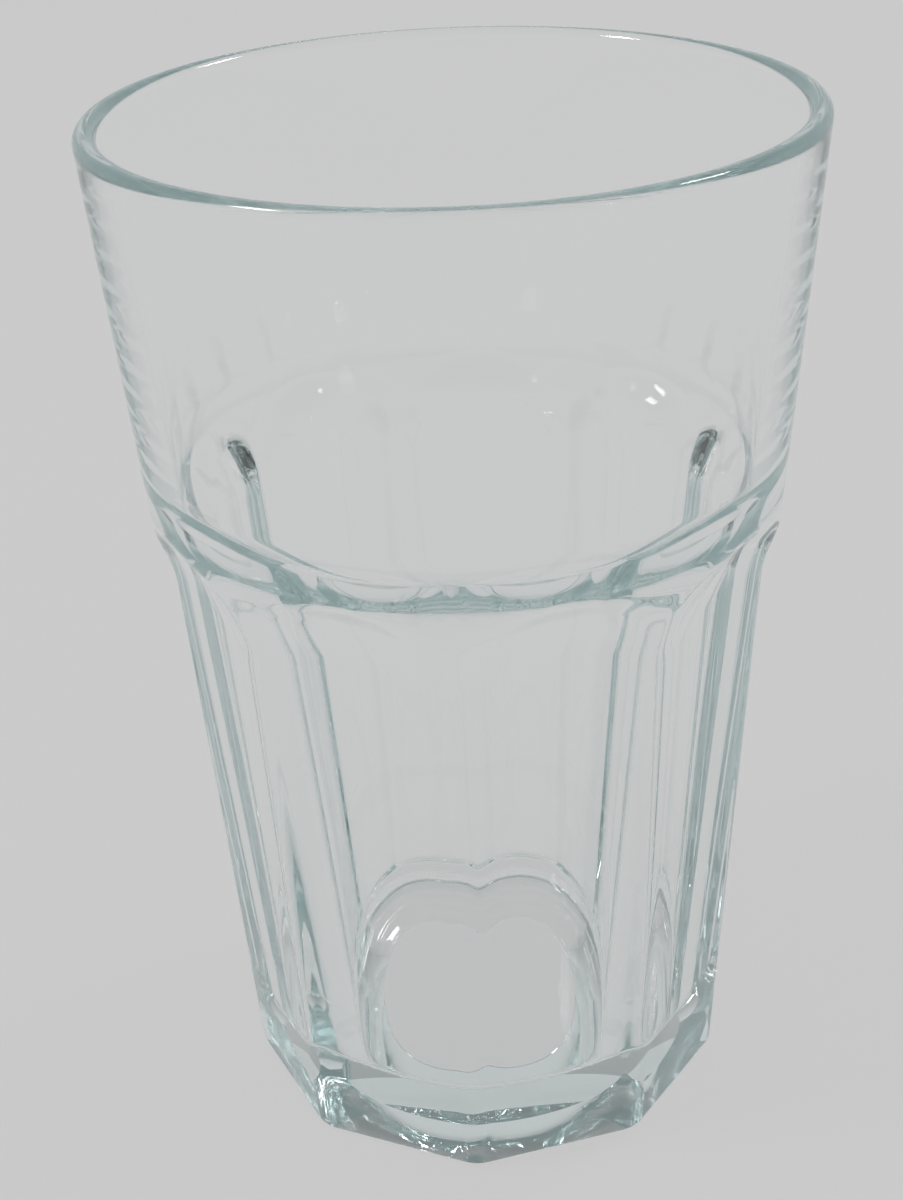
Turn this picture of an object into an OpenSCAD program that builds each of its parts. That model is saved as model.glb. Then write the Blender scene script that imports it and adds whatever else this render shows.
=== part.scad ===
// Pressed-glass tumbler: a plain conical band above, flat panels with arched tops below, a heavy base,
// and a round inside with a sloping step under the band. One piece of glass, standing on z = 0.

/* [Overall] */
// Height from the resting face to the top of the rim
height = 129; // [110:1:160]
// Outer diameter at the rim, before its edge is rounded
mouth_d = 86; // [80:0.5:100]

/* [Band] */
// Height at which the band's lower diameter is given
shoulder_z = 83.5; // [80:0.5:92]
// Outer diameter of the band at the shoulder
shoulder_d = 78; // [75:0.5:84]
// Thickness of the wall at the rim, before its edges are rounded
rim_wall = 2.7; // [2:0.1:4]
// Thickness of the wall at the foot of the band
band_wall = 3.6; // [2:0.1:5]

/* [Panels] */
// Number of panels round the body
panel_n = 9; // [8:1:11]
// Distance across flats of the body at the resting face, before the heel is rounded
foot_flats = 59.5; // [55:0.5:63]
// Distance across flats of the body at the shoulder
shoulder_flats = 71; // [68:0.5:73]
// Height at which a panel's flat ends, on its middle line
crown_z = 75; // [70:0.5:80]
// Radius of the arch that ends a panel, in the panel's plane
arch_r = 26; // [18:0.5:40]
// Radius with which a panel runs out into the band
runout_r = 12; // [3:0.5:14]
// Radius of the rounded edge between the panels and the resting face
heel_r = 1.2; // [0.8:0.1:3]

/* [Inside] */
// Thickness of the base at the axis
base_t = 9.5; // [6:0.5:16]
// Inner diameter at the floor, before its corner is rounded
floor_d = 47; // [42:0.5:50]
// Radius of the corner between floor and wall
floor_r = 2.5; // [2:0.5:12]
// Height at which the step under the band starts
step_top_z = 87.5; // [80:0.5:95]
// Height by which the step falls from the band to the lower wall
step_drop = 6.5; // [1:0.5:12]
// Inner diameter of the lower wall, just under the step
step_d = 64.5; // [54:0.5:65]
// Radius of the two bends of the step, as far as the step has room for it
step_r = 9; // [1:0.5:10]

/* [Underside] */
// Diameter of the shallow dish in the resting face
dish_d = 53; // [36:1:54]
// Depth of the dish at the axis
dish_h = 0.3; // [0.2:0.1:1.5]

/* [Hidden] */
$fn = 96;

// Room by which a cutter reaches past the glass
reach = 1;
// Flat that is left on top of the rounded rim
rim_flat = 0.2;
// Largest part of the step's run that its two bends may take
bend_share = 0.98;
// Number of straight runs in each rounded bend of the inside and of the rim
bend_runs = 12;
// Number of straight runs in the rounded heel
heel_runs = 5;

// Rim: its outer and inner edge before rounding, as distance from the axis and height
rim_out = [mouth_d / 2, height];
rim_in = [mouth_d / 2 - rim_wall, height];
rim_r = (rim_wall - rim_flat) / 2;

// Band, outside: a cone through the shoulder and the rim
band_slope = (mouth_d - shoulder_d) / 2 / (height - shoulder_z);
function band_outer(z) = shoulder_d / 2 + (z - shoulder_z) * band_slope;

// Round blank: its cone ends level with the arches' centres, and a cylinder goes on down to the foot
blank_foot = [band_outer(crown_z - arch_r), crown_z - arch_r];

// Panels: planes that lean outwards as they rise
panel_turn = 360 / panel_n;
panel_tilt = atan((shoulder_flats - foot_flats) / 2 / shoulder_z);
panel_w = 2 * mouth_d * tan(panel_turn / 2);
// Depth of the space outside a panel, from its plane to past the blank
panel_deep = blank_foot.x - foot_flats / 2 + 2 * runout_r;
arch_centre = crown_z / cos(panel_tilt) - arch_r;

// Heel: the lower edge of a panel, as distance from the axis and height
heel = [foot_flats / 2, 0];
panel_top = [shoulder_flats / 2, shoulder_z];

// Inside profile: where the straight walls would meet
step_top = [band_outer(step_top_z) - band_wall, step_top_z];
step_foot = [step_d / 2, step_top_z - step_drop];
floor_edge = [floor_d / 2, base_t];

// Bends of the step: their two tangents share the step's own run
step_room = norm(step_top - step_foot)
    / (tangent(rim_in, step_top, step_foot) + tangent(step_top, step_foot, floor_edge));
step_bend = min(step_r, step_room * bend_share);

// Underside: the ball whose cap is the dish
dish_ball = (dish_d * dish_d / 4 + dish_h * dish_h) / (2 * dish_h);

function unit(v) = v / norm(v);

// Length of the tangent of a bend of radius 1 at the corner b between the straights from a and to c
function tangent(a, b, c) = 1 / tan(acos(unit(a - b) * unit(c - b)) / 2);

// Points of a bend of radius r that rounds the corner b between the straights from a and to c
function bend(a, b, c, r, runs = bend_runs) =
    let (
        u = unit(a - b),
        v = unit(c - b),
        half = acos(u * v) / 2,
        centre = b + unit(u + v) * r / sin(half),
        from = b + u * r / tan(half) - centre,
        to = b + v * r / tan(half) - centre,
        swing = 180 - 2 * half
    )
    [for (i = [0 : runs])
        let (t = i / runs)
        centre + (from * sin((1 - t) * swing) + to * sin(t * swing)) / sin(swing)];

// Half section of the cavity, from the axis at the floor up to the open mouth
module cavity_section()
    let (lip = bend(step_top, rim_in, rim_out, rim_r))
    polygon(concat(
        [[0, base_t]],
        bend([0, base_t], floor_edge, step_foot, floor_r),
        bend(floor_edge, step_foot, step_top, step_bend),
        bend(step_foot, step_top, rim_in, step_bend),
        lip,
        [[lip[bend_runs].x, height + reach], [0, height + reach]]
    ));

// Half section of the round blank that the panels are pressed into
module blank_section()
    polygon(concat(
        [[0, 0], [blank_foot.x, 0], blank_foot],
        bend(blank_foot, rim_out, rim_in, rim_r),
        [[0, height]]
    ));

// Space outside one panel, in the panel's own frame: x across, y up the panel, z out of the glass
module panel_space() {
    translate([-panel_w / 2, -height, 0])
        cube([panel_w, height + arch_centre, panel_deep]);
    translate([0, arch_centre, 0])
        rotate_extrude()
            union() {
                square([arch_r, panel_deep]);
                translate([arch_r, runout_r])
                    circle(r = runout_r);
            }
}

// Space outside the rounded heel of one panel, drawn as distance from the axis and height
module heel_space()
    linear_extrude(height = panel_w, center = true)
        let (round = bend([0, 0], heel, panel_top, heel_r, heel_runs))
        polygon(concat(
            round,
            [
                [heel.x + heel_r, round[heel_runs].y],
                [heel.x + heel_r, -reach],
                [round[0].x, -reach]
            ]
        ));

// What is outside one panel, at its place before it is turned round the axis
module outside_panel() {
    translate([0, -heel.x, 0])
        rotate([90 + panel_tilt, 0, 0])
            panel_space();
    rotate([90, 0, -90])
        heel_space();
}

module tumbler()
    color("lightcyan", 0.5)
        difference() {
            rotate_extrude()
                blank_section();
            rotate_extrude()
                cavity_section();
            for (i = [0 : panel_n - 1])
                rotate([0, 0, (i + 0.5) * panel_turn])
                    outside_panel();
            translate([0, 0, dish_h - dish_ball])
                sphere(r = dish_ball);
        }

tumbler();
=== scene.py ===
# %% [markdown]
# # A pressed-glass tumbler
# The object is one piece of clear glass: a plain conical band above, nine flat panels with arched tops below,
# a thick nine-sided foot, and a round inside with a small step. This lesson loads the construction model as a
# fixed frame, models the same glass again with a finer skin, and gives it a finish, a floor, light and a
# camera. Everything is in metres, and +Z is up.

# %% Load the frame
import math
from functools import lru_cache

import bmesh
import bpy
from mathutils import Matrix, Vector, noise


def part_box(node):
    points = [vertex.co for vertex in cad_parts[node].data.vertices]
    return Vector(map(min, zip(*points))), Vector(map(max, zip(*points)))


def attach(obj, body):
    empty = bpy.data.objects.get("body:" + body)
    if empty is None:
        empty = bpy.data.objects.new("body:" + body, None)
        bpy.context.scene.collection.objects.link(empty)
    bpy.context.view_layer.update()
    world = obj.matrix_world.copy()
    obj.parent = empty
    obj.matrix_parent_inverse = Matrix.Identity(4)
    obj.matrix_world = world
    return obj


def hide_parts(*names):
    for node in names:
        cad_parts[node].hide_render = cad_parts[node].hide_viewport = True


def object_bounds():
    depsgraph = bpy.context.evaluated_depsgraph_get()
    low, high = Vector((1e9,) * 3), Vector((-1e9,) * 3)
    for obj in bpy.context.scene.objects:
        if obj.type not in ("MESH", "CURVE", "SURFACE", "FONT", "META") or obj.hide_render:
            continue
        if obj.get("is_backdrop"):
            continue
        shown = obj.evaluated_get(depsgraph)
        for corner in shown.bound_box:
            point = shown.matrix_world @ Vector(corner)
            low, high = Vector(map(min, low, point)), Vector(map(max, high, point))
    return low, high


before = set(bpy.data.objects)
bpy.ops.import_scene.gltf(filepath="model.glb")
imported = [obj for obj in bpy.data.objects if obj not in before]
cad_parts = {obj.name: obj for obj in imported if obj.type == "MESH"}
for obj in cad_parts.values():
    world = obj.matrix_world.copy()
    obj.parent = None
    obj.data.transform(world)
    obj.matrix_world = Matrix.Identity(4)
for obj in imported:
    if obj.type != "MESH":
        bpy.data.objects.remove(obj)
cad_box = [list(corner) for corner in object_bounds()]
MM = 0.001
foot_corner, rim_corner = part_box("tumbler")
print("CAD glass, mm:", [round((b - a) / MM, 2) for a, b in zip(foot_corner, rim_corner)])

# %% [markdown]
# ## The camera
# The reference view was taken close to the glass, from a little above it, so the perspective is strong: the
# rim looks much wider than the foot. A camera could be placed by eye, but its height, distance and tilt then
# never quite agree. Here they are the real distances that a pinhole camera needs to see the rim, the shoulder
# and the corners of the foot where the reference view has them. The glass shows a corner, and is turned a
# little from it, so the camera stands slightly to the right.

# %% Camera
camera_away = 237.6 * MM
camera_up = 185.9 * MM
camera_round = math.radians(3.74)
camera_down = math.radians(26.81)
camera_aside = math.radians(-0.59)
camera_roll = math.radians(-2.51)
sensor_height = 24.0
focal_length = 41.86

lens = bpy.data.cameras.new("camera")
lens.sensor_fit = "VERTICAL"
lens.sensor_height = sensor_height
lens.lens = focal_length
camera = bpy.data.objects.new("camera", lens)
bpy.context.collection.objects.link(camera)
bpy.context.scene.camera = camera
look_level = Matrix.Rotation(math.radians(90), 4, "X")
camera.matrix_world = (
    Matrix.Rotation(camera_round, 4, "Z")
    @ Matrix.Translation((0, -camera_away, camera_up))
    @ Matrix.Rotation(-camera_aside, 4, "Z")
    @ look_level
    @ Matrix.Rotation(-camera_down, 4, "X")
    @ Matrix.Rotation(camera_roll, 4, "Z")
)
print("Camera at, mm:", [round(c / MM, 1) for c in camera.matrix_world.translation])

# %% [markdown]
# ## The outside, as a round blank
# A pressed glass is shaped by two tools: a mould makes the outside, and a plunger makes the inside. Both halves
# start here as a line in section that is spun round the axis. The outside's line could be drawn point by point,
# but a bevel on its corners is easier to change: each corner has a radius, and the bevel's offset is the length
# of the tangent that this radius needs. The shallow dish under the foot is an arc, made by swinging its middle
# point round the centre of a large ball.

# %% Sizes of the outside
height = rim_corner.z
mouth_r = 43.0 * MM
rim_wall = 2.7 * MM
rim_r = 1.25 * MM
shoulder_r = 39.0 * MM
shoulder_z = 83.5 * MM
heel_r = 1.2 * MM
dish_r = 26.5 * MM
dish_h = 0.3 * MM
blank_r = 33.0 * MM
arch_zone = (64.0 * MM, 88.0 * MM)

band_slope = (mouth_r - shoulder_r) / (height - shoulder_z)


def band_radius(z):
    """Radius of the band's cone, outside, at height z."""
    return shoulder_r + (z - shoulder_z) * band_slope


print("Band leans out by", round(math.degrees(math.atan(band_slope)), 2), "degrees")

# %% Helpers for a line in section
glass = bmesh.new()
row_spacing = 3.0 * MM
row_hold = 0.4 * MM


def section_line(start, points):
    """Draws a line in section from a point onwards, through places given as radius and height."""
    line = [start] + [glass.verts.new((0, -r, z)) for r, z in points]
    return [glass.edges.new(pair) for pair in zip(line, line[1:])]


def round_corner(r, z, radius, steps):
    """Rounds the corner of the line at that place with an arc of that radius."""
    corner = min((v for v in glass.verts if v.is_wire), key=lambda v: math.hypot(v.co.y + r, v.co.z - z))
    arms = [e.other_vert(corner).co - corner.co for e in corner.link_edges]
    tangent = radius / math.tan(arms[0].angle(arms[1]) / 2)
    bmesh.ops.bevel(
        glass, geom=[corner], offset=tangent, offset_type="OFFSET",
        affect="VERTICES", segments=steps, profile=0.5, material=-1,
    )


def add_rows():
    """Divides long straight runs, with a row close to each end that keeps their shading straight."""
    for run in [e for e in glass.edges if e.is_wire and e.calc_length() > 1.5 * row_spacing]:
        for end in run.verts[:]:
            bmesh.utils.edge_split(run, end, row_hold / run.calc_length())
        bmesh.ops.subdivide_edges(glass, edges=[run], cuts=int(run.calc_length() / row_spacing))


print("Rows on straight runs, mm apart:", round(row_spacing / MM, 1))

# %% Section of the outside
dish_steps = 10
heel_steps = 8
rim_steps = 10
arch_rows = 92

dish_ball = (dish_r ** 2 + dish_h ** 2) / (2 * dish_h)
dish_middle = glass.verts.new((0, 0, dish_h))
dish = bmesh.ops.spin(
    glass, geom=[dish_middle], cent=(0, 0, dish_h - dish_ball), axis=(1, 0, 0), dvec=(0, 0, 0),
    angle=math.asin(dish_r / dish_ball), steps=dish_steps,
)
runs = section_line(dish["geom_last"][0], [
    (blank_r, 0),
    (blank_r, arch_zone[0]),
    (band_radius(arch_zone[1]), arch_zone[1]),
    (mouth_r, height),
    (mouth_r - rim_wall / 2, height),
])
bmesh.ops.subdivide_edges(glass, edges=[runs[2]], cuts=arch_rows)
round_corner(blank_r, 0, heel_r, heel_steps)
round_corner(mouth_r, height, rim_r, rim_steps)
add_rows()
print("Outside in section:", len(glass.verts), "points")

# %% Spin the outside
panel_n = 9
panel_turn = 2 * math.pi / panel_n
columns = 36 * panel_n
crowding = 0.7


def spin_line():
    """Spins the loose line round the axis and draws the columns towards the panels' corners."""
    line = [part for part in glass.verts[:] + glass.edges[:] if part.is_wire]
    before = set(glass.verts)
    bmesh.ops.spin(
        glass, geom=line, cent=(0, 0, 0), axis=(0, 0, 1), dvec=(0, 0, 0),
        angle=2 * math.pi, steps=columns, use_merge=True,
    )
    spun = [v for v in glass.verts if v not in before or v in line]
    for vert in spun:
        turn = math.atan2(vert.co.x, -vert.co.y)
        vert.co.rotate(Matrix.Rotation(-crowding / panel_n * math.sin(panel_n * turn), 3, "Z"))
    return spun


blank = spin_line()
print("Blank:", len(blank), "points")

# %% [markdown]
# ## The mould's panels
# Each panel is a flat that leans outwards and ends in an arch. Past the arch the mould curves out of the flat
# with a wide radius, until it meets the cone of the band. The blank could be cut with nine boxes, but a
# Boolean leaves long thin faces that show as creases in clear glass. Here a rule says how far a point lies
# outside the mould, and every point of the blank is moved towards the axis until it just touches. All panels
# are alike, so a point only needs its angle from the nearest panel's middle line, and one answer serves all
# the points that share it.

# %% The mould as a rule
foot_flat = 29.75 * MM
shoulder_flat = 35.5 * MM
crown_z = 75.0 * MM
arch_r = 26.0 * MM
runout_r = 12.0 * MM
corner_soft = 1.3 * MM
arch_soft = 1.2 * MM
halvings = 28

tilt = math.atan((shoulder_flat - foot_flat) / shoulder_z)
arch_centre = crown_z / math.cos(tilt) - arch_r


def soft_max(a, b, width):
    """The larger of two distances, with the corner between them rounded."""
    near = max(width - abs(a - b), 0) / width
    return max(a, b) + near * near * width / 4


def outside_panel(r, angle, z):
    """Distance of a point outside one panel of the mould, angle from the panel's middle line."""
    out = r * math.cos(angle) - foot_flat
    proud = out * math.cos(tilt) - z * math.sin(tilt)
    up = out * math.sin(tilt) + z * math.cos(tilt)
    past_arch = math.hypot(r * math.sin(angle), up - arch_centre) - arch_r if up > arch_centre else 0
    if past_arch >= runout_r:
        return -runout_r
    if past_arch > 0:
        proud -= runout_r - math.sqrt(runout_r ** 2 - past_arch ** 2)
    if z < heel_r:
        proud = max(proud, math.hypot(heel_r - z, max(proud + heel_r, 0)) - heel_r)
    return proud


def outside_mould(r, angle, z):
    """Distance of a point outside the whole mould: two panels and, above, the band's cone."""
    panels = soft_max(outside_panel(r, angle, z), outside_panel(r, panel_turn - angle, z), corner_soft)
    if z < crown_z - arch_r:
        return panels
    return soft_max(panels, (r - band_radius(z)) * math.cos(math.atan(band_slope)), arch_soft)


@lru_cache(maxsize=None)
def mould_radius(angle, z):
    """Radius at which the mould stands, found by halving the space it must lie in."""
    inner, outer = foot_flat / 2, mouth_r
    for _ in range(halvings):
        middle = (inner + outer) / 2
        if outside_mould(middle, angle, z) > 0:
            outer = middle
        else:
            inner = middle
    return inner


print("Panels lean out by", round(math.degrees(tilt), 2), "degrees")

# %% Press the blank into the mould
heel_start = blank_r - heel_r
touching = 0.001 * MM


def press(vert):
    """Moves one point of the blank to the mould; the resting ring is drawn in with the heel."""
    flat = Vector((vert.co.x, vert.co.y, 0))
    turn = math.atan2(vert.co.x, -vert.co.y) % panel_turn
    from_middle = round(abs(turn - panel_turn / 2), 6)
    radius = mould_radius(from_middle, round(vert.co.z, 8))
    if vert.co.z < touching:
        radius = dish_r + (flat.length - dish_r) / (heel_start - dish_r) * (radius - dish_r)
    vert.co = flat.normalized() * radius + Vector((0, 0, vert.co.z))


for vert in blank:
    if math.hypot(vert.co.x, vert.co.y) > dish_r and vert.co.z < height - 2 * rim_r:
        press(vert)
print("Pressed at", mould_radius.cache_info().currsize, "different places")

# %% [markdown]
# ## The inside
# The plunger is round, so the inside needs no pressing: it is a line in section that is spun, from the middle
# of the rim down the band, over a sloping step, down the lower wall and across the floor. The step's two bends
# are wide, so that the step shows as a soft ring, and the floor meets the wall in a small radius. Both halves
# end on the same ring of points on the rim, and merging doubles welds them there and closes the poles on the
# axis.

# %% Section of the inside
band_wall = 3.6 * MM
step_top_z = 87.5 * MM
step_foot_z = 81.0 * MM
step_r = 32.25 * MM
step_bend = 9.0 * MM
floor_r = 23.5 * MM
floor_bend = 1.3 * MM
base_t = 9.5 * MM
step_steps = 16
floor_steps = 20

band_foot_r = band_radius(step_top_z) - band_wall
section_line(glass.verts.new((0, rim_wall / 2 - mouth_r, height)), [
    (mouth_r - rim_wall, height),
    (band_foot_r, step_top_z),
    (step_r, step_foot_z),
    (floor_r, base_t),
    (0, base_t),
])
round_corner(mouth_r - rim_wall, height, rim_r, rim_steps)
round_corner(band_foot_r, step_top_z, step_bend, step_steps)
round_corner(step_r, step_foot_z, step_bend, step_steps)
round_corner(floor_r, base_t, floor_bend, floor_steps)
add_rows()
inside = spin_line()
print("Inside:", len(inside), "points")

# %% Weld the halves
bmesh.ops.remove_doubles(glass, verts=glass.verts[:], dist=touching)
bmesh.ops.recalc_face_normals(glass, faces=glass.faces[:])
glass.normal_update()
open_edges = [e for e in glass.edges if not e.is_manifold]
print("Welded:", len(glass.verts), "points,", len(open_edges), "open edges")
print("Glass, cubic cm:", round(glass.calc_volume() / 1e-6, 2))

# %% [markdown]
# ## Fire polish
# After pressing, a flame melts the skin a little. It takes off tool marks and leaves a surface that is flat to
# the touch and still moves reflections gently. A bump in the material could do that, but it would not bend the
# light that goes through. Here the points themselves move, by up to a hundredth of a millimetre, along a
# smooth noise.

# %% Waves of the polished skin
wave_size = 18.0 * MM
wave_height = 0.01 * MM

waves = [v.normal * (noise.noise(v.co / wave_size) * wave_height) for v in glass.verts]
for vert, wave in zip(glass.verts, waves):
    if heel_r < vert.co.z < height - rim_r:
        vert.co += wave
print("Largest wave, mm:", round(max(w.length for w in waves) / MM, 3))

# %% [markdown]
# ## One piece
# A pressed glass has no second part, so everything so far becomes one object. It could be split into band,
# panels and base to colour them apart, but light has to pass from one to the next without a border. The mesh
# already lies in its place, so the object stays at the origin.

# %% The glass as one piece
for face in glass.faces:
    face.smooth = True
tumbler_mesh = bpy.data.meshes.new("tumbler_glass")
glass.to_mesh(tumbler_mesh)
glass.free()
tumbler = bpy.data.objects.new("tumbler_glass", tumbler_mesh)
bpy.context.collection.objects.link(tumbler)
tumbler_mesh.calc_loop_triangles()
print("Tumbler:", len(tumbler_mesh.loop_triangles), "triangles")

# %% [markdown]
# ## The glass itself
# Clear soda-lime glass bends light with an index of about 1.52, and iron in the sand gives it a faint
# blue-green that shows only where it is thick. Colouring the surface would tint thin and thick parts alike.
# An absorbing volume does what real glass does: the longer the way through, the deeper the colour. The surface
# keeps a trace of roughness that varies, as a glass does that has been washed many times.

# %% Glass material
glass_index = 1.52
glass_colour = (0.35, 0.62, 0.62, 1)
glass_density = 5.0

finish = bpy.data.materials.new("clear_pressed_glass")
finish.use_nodes = True
nodes, links = finish.node_tree.nodes, finish.node_tree.links
shader = nodes["Principled BSDF"]
shader.inputs["Base Color"].default_value = (1, 1, 1, 1)
shader.inputs["IOR"].default_value = glass_index
shader.inputs["Transmission Weight"].default_value = 1.0

place = nodes.new("ShaderNodeTexCoord")
haze = nodes.new("ShaderNodeTexNoise")
haze.inputs["Scale"].default_value = 60.0
haze.inputs["Detail"].default_value = 3.0
links.new(place.outputs["Object"], haze.inputs["Vector"])
wear = nodes.new("ShaderNodeMapRange")
wear.inputs["From Min"].default_value = 0.35
wear.inputs["From Max"].default_value = 0.75
wear.inputs["To Min"].default_value = 0.0
wear.inputs["To Max"].default_value = 0.02
links.new(haze.outputs["Fac"], wear.inputs["Value"])
links.new(wear.outputs["Result"], shader.inputs["Roughness"])

depth = nodes.new("ShaderNodeVolumeAbsorption")
depth.inputs["Color"].default_value = glass_colour
depth.inputs["Density"].default_value = glass_density
links.new(depth.outputs["Volume"], nodes["Material Output"].inputs["Volume"])
tumbler_mesh.materials.append(finish)
clear = [math.exp(-glass_density * (1 - c) * 10 * MM) for c in glass_colour[:3]]
print("Light left after 10 mm of glass:", [round(c, 3) for c in clear])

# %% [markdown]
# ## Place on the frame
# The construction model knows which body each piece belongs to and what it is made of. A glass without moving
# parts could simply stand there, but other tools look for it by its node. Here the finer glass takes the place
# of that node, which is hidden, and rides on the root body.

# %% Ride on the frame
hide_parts("tumbler")
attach(tumbler, "root")
print("Placed:", tumbler.name)

# %% [markdown]
# ## Floor
# Clear glass has hardly a colour of its own: what one sees is the floor and the room, bent. So the floor is
# plain and pale. A matt sheet alone would be uneven under lamps, and the glass would show every change of tone.
# Here it keeps a share of ordinary matt shading, for the shadow, and Light Path gives the rest an even tone for
# the eye and for light that comes through or off the glass, which doesn't light the glass any brighter.

# %% Floor
pale = 0.63
even_share = 0.85
floor_half = 3.0
floor_gap = 0.1 * MM

floor_mesh = bpy.data.meshes.new("floor")
sheet = bmesh.new()
bmesh.ops.create_grid(sheet, x_segments=1, y_segments=1, size=floor_half)
sheet.to_mesh(floor_mesh)
sheet.free()
floor = bpy.data.objects.new("floor", floor_mesh)
floor.location.z = -floor_gap
bpy.context.collection.objects.link(floor)
floor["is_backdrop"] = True
print("Floor, m wide:", 2 * floor_half)

# %% Matt and even tone of the floor
matt = bpy.data.materials.new("pale_floor")
matt.use_nodes = True
nodes, links = matt.node_tree.nodes, matt.node_tree.links
nodes.remove(nodes["Principled BSDF"])
shaded = nodes.new("ShaderNodeBsdfDiffuse")
shaded.inputs["Color"].default_value = (pale, pale, pale, 1)
even = nodes.new("ShaderNodeEmission")
even.inputs["Color"].default_value = (1, 1, 1, 1)
even.inputs["Strength"].default_value = pale


def add_seen_rays(nodes, links):
    """1 for rays from the eye, or off or through glass, 0 for rays that carry light."""
    path = nodes.new("ShaderNodeLightPath")
    first = nodes.new("ShaderNodeMath")
    first.operation = "MAXIMUM"
    links.new(path.outputs["Is Camera Ray"], first.inputs[0])
    links.new(path.outputs["Is Glossy Ray"], first.inputs[1])
    second = nodes.new("ShaderNodeMath")
    second.operation = "MAXIMUM"
    links.new(first.outputs["Value"], second.inputs[0])
    links.new(path.outputs["Is Transmission Ray"], second.inputs[1])
    return second.outputs["Value"]


share = nodes.new("ShaderNodeMath")
share.operation = "MULTIPLY"
share.inputs[1].default_value = even_share
links.new(add_seen_rays(nodes, links), share.inputs[0])
mix = nodes.new("ShaderNodeMixShader")
links.new(share.outputs["Value"], mix.inputs["Fac"])
links.new(shaded.outputs["BSDF"], mix.inputs[1])
links.new(even.outputs["Emission"], mix.inputs[2])
links.new(mix.outputs["Shader"], nodes["Material Output"].inputs["Surface"])
floor_mesh.materials.append(matt)
print("Floor tone:", pale)

# %% [markdown]
# ## The room
# The world stands for the room. One even tone would do for a solid thing, but glass needs something to bend.
# At the horizon the world has almost the floor's tone, so that low views show only a faint line there. Overhead
# it is darker, as a room is above its windows, so that slanted faces stand out from level ones.

# %% World
zenith = 0.25

world = bpy.data.worlds.new("studio")
bpy.context.scene.world = world
world.use_nodes = True
nodes, links = world.node_tree.nodes, world.node_tree.links
sky = nodes["Background"]
sky.inputs["Strength"].default_value = 1.0
way = nodes.new("ShaderNodeTexCoord")
climb = nodes.new("ShaderNodeSeparateXYZ")
links.new(way.outputs["Generated"], climb.inputs["Vector"])
dome = nodes.new("ShaderNodeMapRange")
dome.interpolation_type = "SMOOTHSTEP"
dome.inputs["From Min"].default_value = 0.1
dome.inputs["From Max"].default_value = 1.0
dome.inputs["To Min"].default_value = pale
dome.inputs["To Max"].default_value = zenith
links.new(climb.outputs["Z"], dome.inputs["Value"])
links.new(dome.outputs["Result"], sky.inputs["Color"])
print("World:", pale, "at the horizon,", zenith, "overhead")

# %% [markdown]
# ## Lamps
# Two small windows draw the bright lines along the rim and the glints on the arches. Large lamps would be
# kinder to a matt surface, but in glass they show as broad white patches.

# %% Lamps
lamp_size = 0.25


def soft_lamp(name, place, power):
    """A square soft lamp that looks at the middle of the glass."""
    light = bpy.data.lights.new(name, "AREA")
    light.size = lamp_size
    light.energy = power
    lamp = bpy.data.objects.new(name, light)
    lamp.location = place
    aim = Vector((0, 0, height / 2)) - lamp.location
    lamp.rotation_euler = aim.to_track_quat("-Z", "Y").to_euler()
    bpy.context.collection.objects.link(lamp)
    print(name, "at, mm:", [round(c / MM) for c in lamp.location])


soft_lamp("window_left", (-0.9, -0.3, 1.1), 4.0)
soft_lamp("window_right", (0.8, 0.5, 1.2), 3.0)

# %% [markdown]
# ## Way of the light
# Light inside the thick foot bounces many times. With the usual number of bounces it is cut off early, and the
# foot turns black, so more are followed.

# %% Way of the light
bounces = 40

scene = bpy.context.scene
scene.view_settings.view_transform = "Standard"
scene.cycles.max_bounces = bounces
scene.cycles.glossy_bounces = bounces
scene.cycles.transmission_bounces = bounces
print("Bounces followed:", bounces)

# %% Compare and finish
own_box = [list(corner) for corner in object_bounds()]
for name, (low, high) in (("CAD", cad_box), ("visual", own_box)):
    print(name, "box, mm:", [round((b - a) / MM, 2) for a, b in zip(low, high)])
